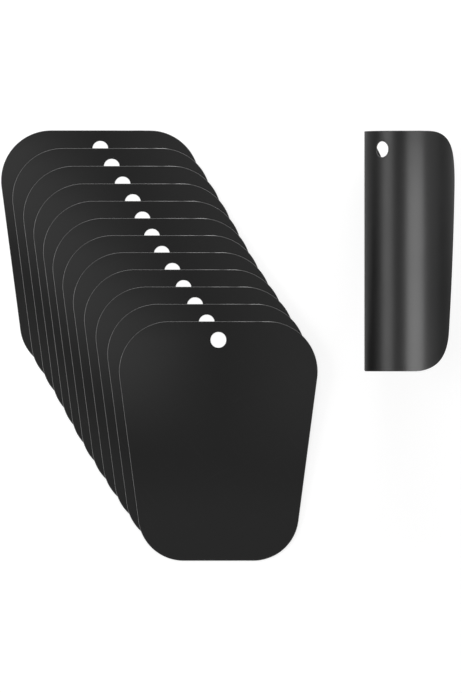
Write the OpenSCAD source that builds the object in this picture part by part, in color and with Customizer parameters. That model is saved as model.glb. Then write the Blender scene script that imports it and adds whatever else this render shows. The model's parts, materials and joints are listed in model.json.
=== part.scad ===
// Boot shaper set: twelve thin plastic sheets, each with a finger hole, fanned out on a table, and
// one more sheet, curled into the open tube that it forms in use.
// Everything lies on Z = 0. The origin is the centre of the set's box, at table height.

/* [Sheet] */
// Width across the upper corners
sheet_w = 253; // [240:1:270]
// Height from the lower edge to the upper edge
sheet_h = 305; // [290:1:340]
// Width across the lower corners
foot_w = 205; // [190:1:215]
// Radius of the two upper corners
top_r = 64; // [50:1:70]
// Radius of the two lower corners
foot_r = 58; // [45:1:64]
// Thickness of the plastic
thick = 0.8; // [0.6:0.1:1]
// Diameter of the finger hole
hole_d = 20; // [15:1:25]
// Distance from the upper edge to the centre of the hole
hole_drop = 23.5; // [20:0.5:30]

/* [Fan] */
// Sideways distance from the first flat sheet to the last
fan_x = 150.5; // [130:0.5:180]
// Distance from the first flat sheet to the last along the sheets' height
fan_y = 243.5; // [230:0.5:260]
// How far the middle of the fan bows sideways, against the fan
fan_bow = 2.5; // [0:0.1:4]
// How far the fan's two halves sway sideways, to either side
fan_sway = 1.9; // [0:0.1:3]
// How far the fan's three thirds ripple sideways, from one side to the other
fan_ripple = 0.7; // [0:0.1:2]
// How far the fan's first half runs ahead along the sheets' height
fan_lead = 0.6; // [0:0.1:1.2]
// Air between one flat sheet and the next
layer_gap = 0.1; // [0.1:0.05:0.3]
// Radius of the bend where a flat sheet comes down to the table
bend_r = 250; // [150:10:300]

/* [Curl] */
// Half the width of the curled sheet's oval
curl_a = 57.4; // [55:0.1:62]
// Half the height of the curled sheet's oval
curl_b = 68; // [62:0.1:72]
// Turn of the curled sheet's hole from straight up
curl_turn = 38.5; // [20:0.5:42]
// Clear space between the last flat sheet and the curled sheet
curl_gap = 59; // [40:1:90]
// How far the curled sheet's upper edge lies short of the first sheet's
curl_short = 2; // [0:0.5:20]

/* [Hidden] */
NODES = [
    "flat_sheet_01", "flat_sheet_02", "flat_sheet_03", "flat_sheet_04",
    "flat_sheet_05", "flat_sheet_06", "flat_sheet_07", "flat_sheet_08",
    "flat_sheet_09", "flat_sheet_10", "flat_sheet_11", "flat_sheet_12",
    "rolled_sheet"
];

// Fragments of a finger hole, and steps along a flat sheet's corner and along its bend
hole_fn = 90;
flat_steps = 20;
bend_steps = 6;
// How far a cutting or bounding shape runs past what it cuts
over = 20;
black = [0.15, 0.15, 0.155];

// Centres of the corner circles on the right half of a sheet
top_x = sheet_w / 2 - top_r;
top_y = sheet_h / 2 - top_r;
foot_x = foot_w / 2 - foot_r;
foot_y = foot_r - sheet_h / 2;
corner_span = norm([top_x - foot_x, top_y - foot_y]);

// Lean of the side edges from upright
lean = atan2(top_x - foot_x, top_y - foot_y) + asin((top_r - foot_r) / corner_span);
hole_y = sheet_h / 2 - hole_drop;

// Height of one sheet above the next, and the last flat sheet's number, counted from 0
pitch = thick + layer_gap;
last = len(NODES) - 2;

// Each flat sheet's shift from the first one, off the fan's straight line by a few waves
function wave(k, times) = sin(180 * times * k / last);
function shift_x(k) =
    fan_x * k / last - fan_bow * wave(k, 1) + fan_sway * wave(k, 2) + fan_ripple * wave(k, 3);
function shift_y(k) = -fan_y * k / last - fan_lead * (2 * wave(k, 1) + wave(k, 2));

// Slope at which the sheets come down past the first one's lower edge, so that each lower edge
// meets the table, and where the bend starts
slope = asin(min([for (k = [1 : last]) -k * pitch / shift_y(k)]));
bend_ahead = bend_r * tan(slope / 2);

// The oval that the curled sheet follows, as pairs of arc length and angle, both from straight up
curl_step = 1;
curl_from = -179;
curl_to = 130;
function curl_rate(t) = norm([curl_a * cos(t), curl_b * sin(t)]) * PI / 180;
function next_s(s, t) = s + curl_rate(t + curl_step / 2) * curl_step;
curl_pairs = [for (t = curl_from, s = 0; t <= curl_to; s = next_s(s, t), t = t + curl_step) [s, t]];
hole_s = lookup(-curl_turn, [for (p = curl_pairs) [p[1], p[0]]]);

// Angle on the oval at a distance s across the sheet from the hole's centre line
function curl_angle(s) = lookup(hole_s + s, curl_pairs);
function oval_normal(t) = [curl_b * sin(t), curl_a * cos(t)] / norm([curl_b * sin(t), curl_a * cos(t)]);
// Point at s across and y up the sheet, h outside its middle surface, about the oval's axis
function curled(s, y, h) =
    let (t = curl_angle(s), n = oval_normal(t))
    [curl_a * sin(t) + h * n[0], y, curl_b * cos(t) + h * n[1]];

curl_left = curled(-sheet_w / 2, 0, thick / 2);
curl_right = curled(sheet_w / 2, 0, thick / 2);
// How far the curled sheet reaches to the right of the oval's axis
curl_reach = curl_angle(sheet_w / 2) > 90 ? curl_a + thick / 2 : curl_right[0];
curl_z = -curl_left[2];
curl_tilt = atan2(oval_normal(-curl_turn)[0], oval_normal(-curl_turn)[1]);

// Points along an arc, at angles counted from +X
function arc(centre, r, from, to, steps) =
    [for (i = [0 : steps]) let (a = from + (to - from) * i / steps) centre + r * [cos(a), sin(a)]];
function reversed(list) = [for (i = [len(list) - 1 : -1 : 0]) list[i]];

// Right-hand edge of a sheet from its upper edge to its lower edge, where x is the half width.
// The upper corner's arc stops at its widest point, and one more step takes it to the side edge
function right_edge(corner_steps, side_steps) =
    let (side_top = [top_x, top_y] + top_r * [cos(lean), -sin(lean)])
    let (side_foot = [foot_x, foot_y] + foot_r * [cos(lean), -sin(lean)])
    concat(
        arc([top_x, top_y], top_r, 90, 0, corner_steps),
        [for (i = [0 : side_steps - 1]) side_top + (side_foot - side_top) * i / side_steps],
        arc([foot_x, foot_y], foot_r, -lean, -90, corner_steps)
    );

// The curled sheet's rows, each with its half width and its height, and the columns across it
rows = right_edge(7, 6);
columns = 40;

// Places in the set's frame: the first flat sheet, and the curled sheet's axis
set_w = fan_x + sheet_w + curl_gap + curl_a + thick / 2 + curl_reach;
set_l = fan_y + sheet_h;
first_x = (sheet_w - set_w) / 2;
first_y = (set_l - sheet_h) / 2;
curl_x = first_x + fan_x + sheet_w / 2 + curl_gap + curl_a + thick / 2;
curl_y = first_y - curl_short;

// The flat outline, the same on both sides
module outline() {
    right = right_edge(flat_steps, 1);
    polygon(concat(right, [for (p = reversed(right)) [-p[0], p[1]]]));
}

// Line that runs level, then bends and comes down to the table, about the bend's centre
function bend_line(radius) = concat(
    [[sheet_h, radius]],
    arc([0, 0], radius, 90, 90 + slope, bend_steps),
    [radius * [-sin(slope), cos(slope)] - sheet_h * [cos(slope), sin(slope)]]
);

// Section of one flat sheet along its height: the first lies level and the others bend
module section(k) {
    radius = bend_r + k * pitch;
    if (k == 0)
        translate([first_y - sheet_h, 0])
            square([2 * sheet_h, thick]);
    else
        translate([first_y - sheet_h / 2 + bend_ahead, -bend_r])
            polygon(concat(bend_line(radius + thick), reversed(bend_line(radius))));
}

// One flat sheet of the fan, k steps from the first
module flat_sheet(k) {
    x = first_x + shift_x(k);
    y = first_y + shift_y(k);
    color(black)
        difference() {
            intersection() {
                translate([x, y, -over])
                    linear_extrude(2 * over)
                        outline();
                translate([x, 0, 0])
                    rotate([90, 0, 90])
                        linear_extrude(sheet_w + over, center = true)
                            section(k);
            }
            translate([x, y + hole_y, -over])
                cylinder(d = hole_d, h = 2 * over, $fn = hole_fn);
        }
}

// Vertex number in the curled sheet: side 0 is the outer face and side 1 the inner one
function vertex(side, i, j) = (side * len(rows) + i) * (columns + 1) + j;
// Two triangles for a four-cornered patch
function patch(a, b, c, d) = [[a, b, c], [a, c, d]];

// The sheet in its curl, about the oval's axis
module curl_body() {
    ends = len(rows) - 1;
    points = [
        for (side = [0, 1], row = rows, j = [0 : columns])
            curled(row[0] * (2 * j / columns - 1), row[1], thick * (0.5 - side))
    ];
    outer_face = [
        for (i = [0 : ends - 1], j = [0 : columns - 1])
            each patch(vertex(0, i, j), vertex(0, i, j + 1), vertex(0, i + 1, j + 1), vertex(0, i + 1, j))
    ];
    inner_face = [
        for (i = [0 : ends - 1], j = [0 : columns - 1])
            each patch(vertex(1, i, j), vertex(1, i + 1, j), vertex(1, i + 1, j + 1), vertex(1, i, j + 1))
    ];
    upper_edge = [
        for (j = [0 : columns - 1])
            each patch(vertex(0, 0, j), vertex(1, 0, j), vertex(1, 0, j + 1), vertex(0, 0, j + 1))
    ];
    lower_edge = [
        for (j = [0 : columns - 1])
            each patch(
                vertex(0, ends, j), vertex(0, ends, j + 1),
                vertex(1, ends, j + 1), vertex(1, ends, j)
            )
    ];
    left_side = [
        for (i = [0 : ends - 1])
            each patch(vertex(0, i, 0), vertex(0, i + 1, 0), vertex(1, i + 1, 0), vertex(1, i, 0))
    ];
    right_side = [
        for (i = [0 : ends - 1])
            each patch(
                vertex(0, i, columns), vertex(1, i, columns),
                vertex(1, i + 1, columns), vertex(0, i + 1, columns)
            )
    ];
    faces = concat(outer_face, inner_face, upper_edge, lower_edge, left_side, right_side);
    polyhedron(points, faces, convexity = 6);
}

// The thirteenth sheet, curled as it is in use
module rolled_sheet() {
    color(black)
        translate([curl_x, curl_y, curl_z])
            difference() {
                curl_body();
                translate(curled(0, hole_y, 0))
                    rotate([0, curl_tilt, 0])
                        cylinder(d = hole_d, h = over, center = true, $fn = hole_fn);
            }
}

for (k = [0 : last])
    flat_sheet(k);
rolled_sheet();
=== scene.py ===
# Boot shaper set: twelve satin black plastic sheets fanned out flat, and one more, curled.
import json
import math

import bpy
import numpy as np
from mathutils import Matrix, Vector
from mathutils.geometry import delaunay_2d_cdt

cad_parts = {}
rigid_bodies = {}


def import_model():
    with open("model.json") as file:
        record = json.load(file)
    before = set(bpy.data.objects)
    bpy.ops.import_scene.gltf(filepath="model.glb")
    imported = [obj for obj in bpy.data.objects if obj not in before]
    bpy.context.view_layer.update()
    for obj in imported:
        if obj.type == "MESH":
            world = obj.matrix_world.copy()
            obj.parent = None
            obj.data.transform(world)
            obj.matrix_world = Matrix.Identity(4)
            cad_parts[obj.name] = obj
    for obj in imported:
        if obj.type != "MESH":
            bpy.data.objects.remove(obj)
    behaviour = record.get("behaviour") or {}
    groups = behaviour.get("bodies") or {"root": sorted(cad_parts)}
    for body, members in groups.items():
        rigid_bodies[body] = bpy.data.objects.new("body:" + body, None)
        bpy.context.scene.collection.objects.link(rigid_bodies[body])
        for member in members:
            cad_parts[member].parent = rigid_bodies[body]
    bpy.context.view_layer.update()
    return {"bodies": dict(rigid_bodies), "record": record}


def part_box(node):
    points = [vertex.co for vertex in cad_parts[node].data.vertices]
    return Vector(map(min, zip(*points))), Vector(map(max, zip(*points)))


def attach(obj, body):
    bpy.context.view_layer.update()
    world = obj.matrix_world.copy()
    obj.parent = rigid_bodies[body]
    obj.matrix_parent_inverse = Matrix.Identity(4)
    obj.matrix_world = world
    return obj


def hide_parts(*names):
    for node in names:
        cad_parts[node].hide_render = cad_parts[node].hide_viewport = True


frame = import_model()

# Sizes of one sheet, in metres
THICK = 0.0008
FOOT_WIDTH = 0.205
TOP_RADIUS = 0.064
FOOT_RADIUS = 0.058
# The rounded rim: how far it reaches in from the cut edge, and the steps round it. A narrow
# flat band beside it keeps the shading of the faces flat
RIM_REACH = 0.0006
RIM_STEPS = 8
BAND_REACH = 0.001
# Steps along half the outline, from the middle of the upper edge to the middle of the lower
# one, and round the finger hole
TOP_STEPS = 16
TOP_CORNER_STEPS = 30
SIDE_STEPS = 44
FOOT_CORNER_STEPS = 24
FOOT_STEPS = 12
HOLE_STEPS = 72
# Spacing of the points on the faces of a flat sheet and of the curled one, and the distance
# within which two points count as one
FLAT_GRID = 0.006
CURL_GRID = 0.004
SAME_POINT = 1e-7

# The fan: rise from one sheet to the next, and radius of the bend down to the table
PITCH = 0.0009
BEND_RADIUS = 0.25

# The curl: half the oval's width and height, the hole's turn from straight up, and the degrees
# from straight up between which the sheet's sides can lie
CURL_A = 0.0574
CURL_B = 0.068
CURL_TURN = math.radians(38.5)
CURL_FROM, CURL_TO = -179, 130

# The table: half its width, and how far its white lies below what rests on it
TABLE_REACH = 60
WHITE_DROP = 0.00003
DISC_STEPS = 48

# The photograph: metres of the table in one pixel, and the pixels that the view is aimed by
PHOTO_W, PHOTO_H = 462, 693
PIXEL = 0.0012745
FAN_CENTRE_PX = 159.35
SET_CENTRE_PX = 345.55
# The camera: its height and its range of sight in metres, and its sensor's width in millimetres
CAMERA_HEIGHT = 20.0
SIGHT_START, SIGHT_END = 1, 100
SENSOR = 36.0

FLAT_COUNT = 12
FLAT = [f"flat_sheet_{k:02d}" for k in range(1, FLAT_COUNT + 1)]
holes = {m["name"]: m for m in frame["record"]["mounts"] if m["kind"] == "bore"}

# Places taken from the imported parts
first_low, first_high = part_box(FLAT[0])
last_low, last_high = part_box(FLAT[-1])
WIDTH = first_high.x - first_low.x
HEIGHT = first_high.y - first_low.y
first_centre = (first_low + first_high) / 2
first_hole = holes["finger_hole_01"]
HOLE_RADIUS = first_hole["dims"]["r_mm"] / 1000
HOLE_Y = first_hole["pos_m"][1] - first_centre.y


# Outline of a sheet, about its centre: the corner circles' centres, and the sides' lean

TOP_X = WIDTH / 2 - TOP_RADIUS
TOP_Y = HEIGHT / 2 - TOP_RADIUS
FOOT_X = FOOT_WIDTH / 2 - FOOT_RADIUS
FOOT_Y = FOOT_RADIUS - HEIGHT / 2
LEAN = math.atan2(TOP_X - FOOT_X, TOP_Y - FOOT_Y) + math.asin(
    (TOP_RADIUS - FOOT_RADIUS) / math.hypot(TOP_X - FOOT_X, TOP_Y - FOOT_Y)
)


def arc(x, y, radius, start, end, steps):
    """Points along an arc about (x, y), with angles counted from +X."""
    angles = [start + (end - start) * i / steps for i in range(steps + 1)]
    return [Vector((x + radius * math.cos(a), y + radius * math.sin(a))) for a in angles]


def between(a, b, steps):
    """Points that divide the line from a to b, without its ends."""
    return [a.lerp(b, i / steps) for i in range(1, steps)]


def outline(inset):
    """The sheet's edge, drawn in by inset, clockwise from the middle of the upper edge."""
    upper = arc(TOP_X, TOP_Y, TOP_RADIUS - inset, math.pi / 2, -LEAN, TOP_CORNER_STEPS)
    lower = arc(FOOT_X, FOOT_Y, FOOT_RADIUS - inset, -LEAN, -math.pi / 2, FOOT_CORNER_STEPS)
    top = Vector((0, upper[0].y))
    foot = Vector((0, lower[-1].y))
    right = between(top, upper[0], TOP_STEPS) + upper
    right += between(upper[-1], lower[0], SIDE_STEPS)
    right += lower + between(lower[-1], foot, FOOT_STEPS)
    left = [Vector((-p.x, p.y)) for p in reversed(right)]
    return [top] + right + [foot] + left


def hole_edge(inset):
    """The finger hole's edge, drawn back into the sheet by inset."""
    return arc(0, HOLE_Y, HOLE_RADIUS + inset, 0, math.tau, HOLE_STEPS)[:-1]


def inside(x, y, clear):
    """True if a point lies in the sheet's plastic, at least that far from every edge."""
    if math.hypot(x, y - HOLE_Y) < HOLE_RADIUS + clear or abs(y) > HEIGHT / 2 - clear:
        return False
    x = abs(x)
    beyond_top = math.hypot(x - TOP_X, y - TOP_Y) > TOP_RADIUS - clear
    beyond_foot = math.hypot(x - FOOT_X, y - FOOT_Y) > FOOT_RADIUS - clear
    if x > TOP_X and y > TOP_Y - TOP_RADIUS * math.sin(LEAN) and beyond_top:
        return False
    if x > FOOT_X and y < FOOT_Y - FOOT_RADIUS * math.sin(LEAN) and beyond_foot:
        return False
    side_distance = (x - TOP_X) * math.cos(LEAN) - (y - TOP_Y) * math.sin(LEAN)
    return side_distance < TOP_RADIUS - clear


def rim_profile():
    """Distance in from the edge and height of each step: flat band, half-round rim, flat band."""
    angles = [math.pi / 2 - math.pi * i / RIM_STEPS for i in range(RIM_STEPS + 1)]
    half_round = [(RIM_REACH * (1 - math.cos(a)), THICK / 2 * math.sin(a)) for a in angles]
    return [(BAND_REACH, THICK / 2)] + half_round + [(BAND_REACH, -THICK / 2)]


def face_triangles(grid):
    """The flat face between the rims: its points and the triangles that join them."""
    edge = outline(BAND_REACH)
    hole = hole_edge(BAND_REACH)
    loops = [(i, (i + 1) % len(edge)) for i in range(len(edge))]
    loops += [(len(edge) + i, len(edge) + (i + 1) % len(hole)) for i in range(len(hole))]
    across = np.arange(-WIDTH / 2, WIDTH / 2, grid)
    along = np.arange(-HEIGHT / 2, HEIGHT / 2, grid)
    clear = grid / 2 + BAND_REACH
    inner = [Vector((x, y)) for y in along for x in across if inside(x, y, clear)]
    within_edges = 1
    points, _, faces, *_ = delaunay_2d_cdt(
        edge + hole + inner, loops, [], within_edges, SAME_POINT
    )
    middles = [sum((points[v] for v in face), Vector((0, 0))) / 3 for face in faces]
    hole_centre = Vector((0, HOLE_Y))
    return points, [f for f, m in zip(faces, middles) if (m - hole_centre).length > HOLE_RADIUS]


def sheet_mesh(name, place, grid, number):
    """A sheet with a rounded rim round its edge and its hole, each point put where place says."""
    plan, spots, faces = [], [], []
    rims, outer_ends, hole_ends = [], [], []

    def add(p, height):
        plan.append((p.x, p.y))
        spots.append(place(p.x, p.y, height))
        return len(spots) - 1

    profile = rim_profile()
    for edge in (outline, hole_edge):
        rings = [[add(p, height) for p in edge(inset)] for inset, height in profile]
        rims += [v for ring in rings[2:-2] for v in ring]
        outer = edge is outline
        for upper, lower in zip(rings, rings[1:]):
            for i in range(len(upper)):
                j = (i + 1) % len(upper)
                face = (upper[i], upper[j], lower[j], lower[i])
                faces.append(face if outer else face[::-1])
        ends = outer_ends if outer else hole_ends
        ends += [rings[0], rings[-1]]

    points, triangles = face_triangles(grid)
    fixed = len(outer_ends[0]) + len(hole_ends[0])
    for side, height in ((0, THICK / 2), (1, -THICK / 2)):
        known = outer_ends[side] + hole_ends[side]
        numbers = known + [add(p, height) for p in points[fixed:]]
        for a, b, c in triangles:
            corners = (numbers[a], numbers[b], numbers[c])
            faces.append(corners if side == 0 else corners[::-1])

    mesh = bpy.data.meshes.new(name)
    mesh.from_pydata(spots, [], faces)
    mesh.validate()
    mesh.shade_smooth()
    plan_map = mesh.uv_layers.new(name="plan")
    corners = np.zeros(len(mesh.loops), np.int32)
    mesh.loops.foreach_get("vertex_index", corners)
    flat = np.array(plan)[corners] / np.array([WIDTH, HEIGHT]) + 0.5
    plan_map.uv.foreach_set("vector", flat.astype(np.float32).ravel())
    rim = mesh.attributes.new("rim", "FLOAT", "POINT")
    share = np.zeros(len(spots), np.float32)
    share[rims] = 1
    rim.data.foreach_set("value", share)
    numbered = mesh.attributes.new("number", "FLOAT", "POINT")
    numbered.data.foreach_set("value", np.full(len(spots), number, np.float32))
    return mesh


# Where a sheet's points go

slope = math.asin(min(
    k * PITCH / (first_centre.y - (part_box(FLAT[k])[0].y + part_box(FLAT[k])[1].y) / 2)
    for k in range(1, FLAT_COUNT)
))
bend_start = first_low.y + BEND_RADIUS * math.tan(slope / 2)


def fan_place(k):
    """Where flat sheet k's points lie: level over the first sheet, then bent down to the table."""
    low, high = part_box(FLAT[k])
    centre = (low + high) / 2
    radius = BEND_RADIUS + k * PITCH + THICK / 2

    def place(x, y, height):
        past = bend_start - (centre.y + y)
        if k == 0 or past <= 0:
            middle = k * PITCH + THICK / 2
        elif past <= radius * math.sin(slope):
            middle = math.sqrt(radius**2 - past**2) - BEND_RADIUS
        else:
            run = past - radius * math.sin(slope)
            middle = radius * math.cos(slope) - BEND_RADIUS - run * math.tan(slope)
        return (centre.x + x, centre.y + y, middle + height)

    return place


def curl_place():
    """Where the curled sheet's points lie, on an oval that it follows round from its hole."""
    low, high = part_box("rolled_sheet")
    centre_x = low.x + CURL_A + THICK / 2
    centre_y = (low.y + high.y) / 2
    centre_z = high.z - CURL_B - THICK / 2
    angles = np.radians(np.arange(CURL_FROM, CURL_TO + 1))
    middles = (angles[1:] + angles[:-1]) / 2
    rates = np.hypot(CURL_A * np.cos(middles), CURL_B * np.sin(middles))
    lengths = np.concatenate([[0], np.cumsum(rates * np.diff(angles))])
    lengths -= np.interp(-CURL_TURN, angles, lengths)

    def place(x, y, height):
        angle = np.interp(x, lengths, angles)
        sine, cosine = math.sin(angle), math.cos(angle)
        out = Vector((CURL_B * sine, CURL_A * cosine)).normalized()
        return (
            centre_x + CURL_A * sine + height * out.x,
            centre_y + y,
            centre_z + CURL_B * cosine + height * out.y,
        )

    return place


# Materials


class Nodes:
    """Short calls for building a node tree."""

    def __init__(self, tree):
        self.tree = tree

    def put(self, value, socket):
        """Links another node's output to a socket, or sets the socket to a plain value."""
        if isinstance(value, bpy.types.NodeSocket):
            self.tree.links.new(value, socket)
        else:
            socket.default_value = value

    def add(self, kind, values=None, **settings):
        node = self.tree.nodes.new(kind)
        for key, value in settings.items():
            setattr(node, key, value)
        for key, value in (values or {}).items():
            self.put(value, node.inputs[key])
        return node

    def math(self, operation, a, b):
        return self.add("ShaderNodeMath", {0: a, 1: b}, operation=operation).outputs[0]

    def ramp(self, value, start, end, low, high, interpolation="LINEAR"):
        """From low at start to high at end."""
        ends = {0: value, 1: start, 2: end, 3: low, 4: high}
        return self.add("ShaderNodeMapRange", ends, interpolation_type=interpolation).outputs[0]

    def fade(self, value, start, end):
        """0 before start and 1 past end, with a smooth rise between them."""
        if start > end:
            return self.ramp(value, end, start, 1.0, 0.0, "SMOOTHSTEP")
        return self.ramp(value, start, end, 0.0, 1.0, "SMOOTHSTEP")

    def noise(self, spot, scale, detail):
        values = {"Vector": spot, "Scale": scale, "Detail": detail}
        return self.add("ShaderNodeTexNoise", values).outputs["Fac"]

    def blend(self, share, a, b):
        """Colour a with that share of colour b."""
        node = self.add("ShaderNodeMix", data_type="RGBA")
        for key, value in (("Factor", share), ("A", a), ("B", b)):
            self.put(value, [s for s in node.inputs if s.name == key and s.enabled][0])
        return [s for s in node.outputs if s.enabled][0]

    def mix(self, share, a, b):
        """Shader a with that share of shader b."""
        return self.add("ShaderNodeMixShader", {0: share, 1: a, 2: b}).outputs[0]

    def seen_by(self, *rays):
        """1 for rays of these kinds and 0 for others."""
        path = self.add("ShaderNodeLightPath").outputs
        seen = path[f"Is {rays[0]} Ray"]
        for ray in rays[1:]:
            seen = self.math("MAXIMUM", seen, path[f"Is {ray} Ray"])
        return seen


def new_material(name):
    material = bpy.data.materials.new(name)
    material.use_nodes = True
    material.node_tree.nodes.clear()
    return material, Nodes(material.node_tree)


def grey(level):
    return (level, level, level, 1)


WHITE = grey(1.0)


def hairlines(n, spot, angle):
    """Faint scratches that all run one way: 1 on a line and 0 beside it."""
    length, width = 0.07, 0.0007
    turned = n.add("ShaderNodeMapping", {
        "Vector": spot,
        "Rotation": (0, 0, angle),
        "Scale": (length, width, 1),
    }, vector_type="TEXTURE").outputs[0]
    return n.fade(n.noise(turned, 1.0, 1.0), 0.70, 0.76)


def black_plastic():
    """Satin black plastic sheet: fine moulded grain, scratches and rougher handling patches, a
    painted sheen on the face, and a paler cut rim with painted highlight.
    """
    material, n = new_material("black_plastic")
    uv = n.add("ShaderNodeUVMap", uv_map="plan").outputs["UV"]
    rim = n.add("ShaderNodeAttribute", attribute_name="rim").outputs["Fac"]
    number = n.add("ShaderNodeAttribute", attribute_name="number").outputs["Fac"]
    # Both run from 0 to 1, from the sheet's left to its right and from its foot to its top
    plan = n.add("ShaderNodeSeparateXYZ", {0: uv})
    across, along = plan.outputs["X"], plan.outputs["Y"]
    # A place on the sheet in metres, with the sheet's number as its height
    spot = n.add("ShaderNodeCombineXYZ", {
        0: n.math("MULTIPLY", across, WIDTH),
        1: n.math("MULTIPLY", along, HEIGHT),
        2: number,
    }).outputs[0]

    # Painted sheen: the black is paler at the upper left, the right side and the foot, as
    # reflected light would make it, and stays darkest in the middle
    unsheened_black, sheen_left, sheen_right, sheen_foot = 0.0078, 0.0258, 0.0165, 0.0118
    upper_part = n.math("MULTIPLY", n.fade(along, 0.42, 0.87), n.fade(along, 1.1, 0.9))
    upper_left = n.math("MULTIPLY", n.fade(across, 0.55, 0.0), upper_part)
    right_side = n.math("MULTIPLY", n.fade(across, 0.45, 1.0), n.fade(along, 0.2, 0.8))
    foot = n.fade(along, 0.45, 0.15)
    face = n.blend(upper_left, grey(unsheened_black), grey(sheen_left))
    face = n.blend(right_side, face, grey(sheen_right))
    face = n.blend(foot, face, grey(sheen_foot))
    scratched, scratch_depth = 0.035, 0.25
    scratches = n.math("MAXIMUM", hairlines(n, spot, 0.5), hairlines(n, spot, -0.9))
    face = n.blend(n.math("MULTIPLY", scratches, scratch_depth), face, grey(scratched))

    # The cut rim is paler, partly from its own whitened cut and partly from painted highlight. A
    # painted highlight brightens it right of the hole, a painted glint sits where the corner
    # starts, and painted shade dims it round the upper left corner
    cut_and_highlight, shaded_cut_corner, glint_grey, half_glint = 0.165, 0.095, 0.48, 0.5
    shaded_corner = n.math("MULTIPLY", n.fade(across, 0.2, 0.1), n.fade(along, 0.84, 0.92))
    right_highlight = n.math("MULTIPLY", n.fade(across, 0.55, 0.62), n.fade(across, 0.70, 0.655))
    glint = n.math("MULTIPLY", n.fade(across, 0.70, 0.735), n.fade(across, 0.80, 0.755))
    highlight_and_glint = n.math("MAXIMUM", n.math("MULTIPLY", right_highlight, half_glint), glint)
    edge = n.blend(shaded_corner, grey(cut_and_highlight), grey(shaded_cut_corner))
    edge = n.blend(highlight_and_glint, edge, grey(glint_grey))
    colour = n.blend(rim, face, edge)

    # Rubbing leaves cloudy patches that are a little rougher, and so are the scratches
    smoothest, roughest, scratch_rough = 0.33, 0.38, 0.06
    rough = n.ramp(n.noise(spot, 14.0, 3.0), 0.3, 0.7, smoothest, roughest)
    rough = n.math("ADD", rough, n.math("MULTIPLY", scratches, scratch_rough))

    # The sheet isn't quite flat, and it has a fine grain
    waves = n.add("ShaderNodeBump", {
        "Strength": 1.0,
        "Distance": 0.0004,
        "Height": n.noise(spot, 9.0, 0.0),
    })
    bump = n.add("ShaderNodeBump", {
        "Strength": 0.05,
        "Distance": 0.0001,
        "Height": n.noise(spot, 1500.0, 2.0),
        "Normal": waves.outputs["Normal"],
    })

    shader = n.add("ShaderNodeBsdfPrincipled", {
        "Base Color": colour,
        "Roughness": rough,
        "Normal": bump.outputs["Normal"],
        "Specular IOR Level": 0.16,
    })
    n.add("ShaderNodeOutputMaterial", {"Surface": shader.outputs[0]})
    return material


def white_table():
    """Pale table that is white where light falls on it freely, and keeps a soft shadow."""
    material, n = new_material("white_table")

    def finish(colour, glow):
        lit = n.add("ShaderNodeBsdfDiffuse", {"Color": grey(colour)}).outputs[0]
        own = n.add("ShaderNodeEmission", {"Color": WHITE, "Strength": glow}).outputs[0]
        return n.add("ShaderNodeAddShader", {0: lit, 1: own}).outputs[0]

    # Away from the set the table fades into the white backdrop
    fade_start, fade_end = 0.7, 1.4
    glow_start, glow_end = 0.79, 1.0
    place = n.add("ShaderNodeNewGeometry").outputs["Position"]
    away = n.add("ShaderNodeVectorMath", {0: place}, operation="LENGTH").outputs["Value"]
    glow = n.ramp(away, fade_start, fade_end, glow_start, glow_end)

    bounce_grey, gloss_grey, seen_grey, gloss_glow = 0.8, 0.6, 0.33, 0.05
    bounced = n.add("ShaderNodeBsdfDiffuse", {"Color": grey(bounce_grey)}).outputs[0]
    in_gloss = n.mix(n.seen_by("Glossy"), bounced, finish(gloss_grey, gloss_glow))
    surface = n.mix(n.seen_by("Camera", "Transmission"), in_gloss, finish(seen_grey, glow))
    n.add("ShaderNodeOutputMaterial", {"Surface": surface})
    return material


# The sheets

plastic = black_plastic()


def dress(name, place, grid, number):
    """Makes a sheet that stands for the CAD node and rides on its body."""
    piece = bpy.data.objects.new(f"{name}_plastic", sheet_mesh(name, place, grid, number))
    bpy.context.scene.collection.objects.link(piece)
    piece.data.materials.append(plastic)
    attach(piece, name)
    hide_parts(name)
    return piece


for k, node in enumerate(FLAT):
    dress(node, fan_place(k), FLAT_GRID, k)
roll = dress("rolled_sheet", curl_place(), CURL_GRID, FLAT_COUNT)


# The white table, and what shows of it through the fan's holes

white = white_table()


def flat_plate(name, points, z):
    mesh = bpy.data.meshes.new(name)
    mesh.from_pydata([(x, y, z) for x, y in points], [], [range(len(points))])
    mesh.materials.append(white)
    plate = bpy.data.objects.new(name, mesh)
    bpy.context.scene.collection.objects.link(plate)
    return plate


square = ((-1, -1), (1, -1), (1, 1), (-1, 1))
flat_plate("table", [(TABLE_REACH * x, TABLE_REACH * y) for x, y in square], -WHITE_DROP)

for k in range(1, FLAT_COUNT):
    x, y, _ = holes[f"finger_hole_{k + 1:02d}"]["pos_m"]
    circle = arc(x, y, HOLE_RADIUS + RIM_REACH / 2, 0, math.tau, DISC_STEPS)[:-1]
    disc = flat_plate(f"hole_white_{k + 1:02d}", circle, k * PITCH - WHITE_DROP)
    disc.parent = frame["bodies"][FLAT[k]]


# Light


def soft_light(name, place, target, width, height, radiance):
    """A rectangular softbox of even brightness, aimed at a point."""
    data = bpy.data.lights.new(name, "AREA")
    data.shape = "RECTANGLE"
    data.size = width
    data.size_y = height
    data.energy = radiance * math.pi * width * height
    lamp = bpy.data.objects.new(name, data)
    lamp.location = place
    lamp.rotation_mode = "QUATERNION"
    lamp.rotation_quaternion = (Vector(target) - Vector(place)).to_track_quat("-Z", "Y")
    lamp.visible_camera = False
    bpy.context.scene.collection.objects.link(lamp)
    return lamp


def curl_link(name, state):
    """A collection that makes a lamp light the curled sheet alone, or all but that sheet."""
    receivers = bpy.data.collections.new(name)
    receivers.objects.link(roll)
    receivers.collection_objects[0].light_linking.link_state = state
    return receivers


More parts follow.
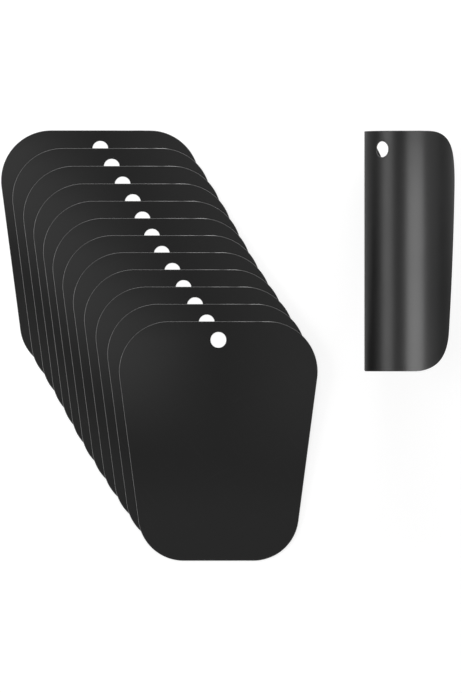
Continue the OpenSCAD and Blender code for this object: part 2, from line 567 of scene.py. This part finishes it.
# The left and back softboxes are left out of every gloss, so the sheets stay black where they
# are seen from the far side
left_light = soft_light(
    "left_softbox", place=(-1.6, 0.2, 0.62), target=(0.2, 0.2, 0.1),
    width=1.2, height=0.75, radiance=8,
)
back_light = soft_light(
    "back_softbox", place=(0.2, 1.7, 0.8), target=(0, 0, 0),
    width=1.4, height=0.5, radiance=8,
)
for lamp in (left_light, back_light):
    lamp.visible_glossy = False
soft_light(
    "right_softbox", place=(1.9, 0.2, 0.8), target=(0.25, 0.2, 0.1),
    width=1.2, height=1.4, radiance=1.3,
)

# In place of the left one the curled sheet has softboxes of its own, which show only as the
# gloss on its side and crest
left_light.light_linking.receiver_collection = curl_link("all_but_curl", "EXCLUDE")
curl_gloss = curl_link("curl_gloss", "INCLUDE")
side_gloss = soft_light(
    "curl_side_softbox", place=(-1.4, 0.2, 0.75), target=(0.2, 0.2, 0.1),
    width=1.2, height=0.98, radiance=7.7,
)
crest_gloss = soft_light(
    "curl_crest_softbox", place=(0.335, -0.055, 0.50), target=(0.235, -0.055, 0.13),
    width=0.65, height=0.38, radiance=13,
)
for lamp in (side_gloss, crest_gloss):
    lamp.visible_diffuse = False
    lamp.light_linking.receiver_collection = curl_gloss


def white_room():
    """The white backdrop, which gloss shows dimmer towards the horizon, and its even light."""
    room = bpy.data.worlds.new("white_room")
    room.use_nodes = True
    room.node_tree.nodes.clear()
    n = Nodes(room.node_tree)
    even_light, horizon_gloss, white_from = 0.35, 0.25, 0.7
    direction = n.add("ShaderNodeTexCoord").outputs["Generated"]
    upward = n.add("ShaderNodeSeparateXYZ", {0: direction}).outputs["Z"]
    dimming = n.blend(n.fade(upward, 0.0, white_from), grey(horizon_gloss), WHITE)
    even, gloss, backdrop = (
        n.add("ShaderNodeBackground", {"Color": colour}).outputs[0]
        for colour in (grey(even_light), dimming, WHITE)
    )
    light = n.mix(n.seen_by("Glossy"), even, gloss)
    surface = n.mix(n.seen_by("Camera", "Transmission"), light, backdrop)
    n.add("ShaderNodeOutputWorld", {"Surface": surface})
    return room


bpy.context.scene.world = white_room()
bpy.context.scene.view_settings.view_transform = "Standard"


# Camera: straight above, framed as the photograph

fan_centre_x = (first_low.x + last_high.x) / 2
set_centre_y = (first_high.y + last_low.y) / 2
aim_x = fan_centre_x + (PHOTO_W / 2 - FAN_CENTRE_PX) * PIXEL
aim_y = set_centre_y - (PHOTO_H / 2 - SET_CENTRE_PX) * PIXEL

camera_data = bpy.data.cameras.new("photo_camera")
camera_data.sensor_width = SENSOR
camera_data.lens = SENSOR * CAMERA_HEIGHT / (PHOTO_H * PIXEL)
camera_data.clip_start = SIGHT_START
camera_data.clip_end = SIGHT_END
camera = bpy.data.objects.new("photo_camera", camera_data)
camera.location = (aim_x, aim_y, CAMERA_HEIGHT)
bpy.context.scene.collection.objects.link(camera)
bpy.context.scene.camera = camera
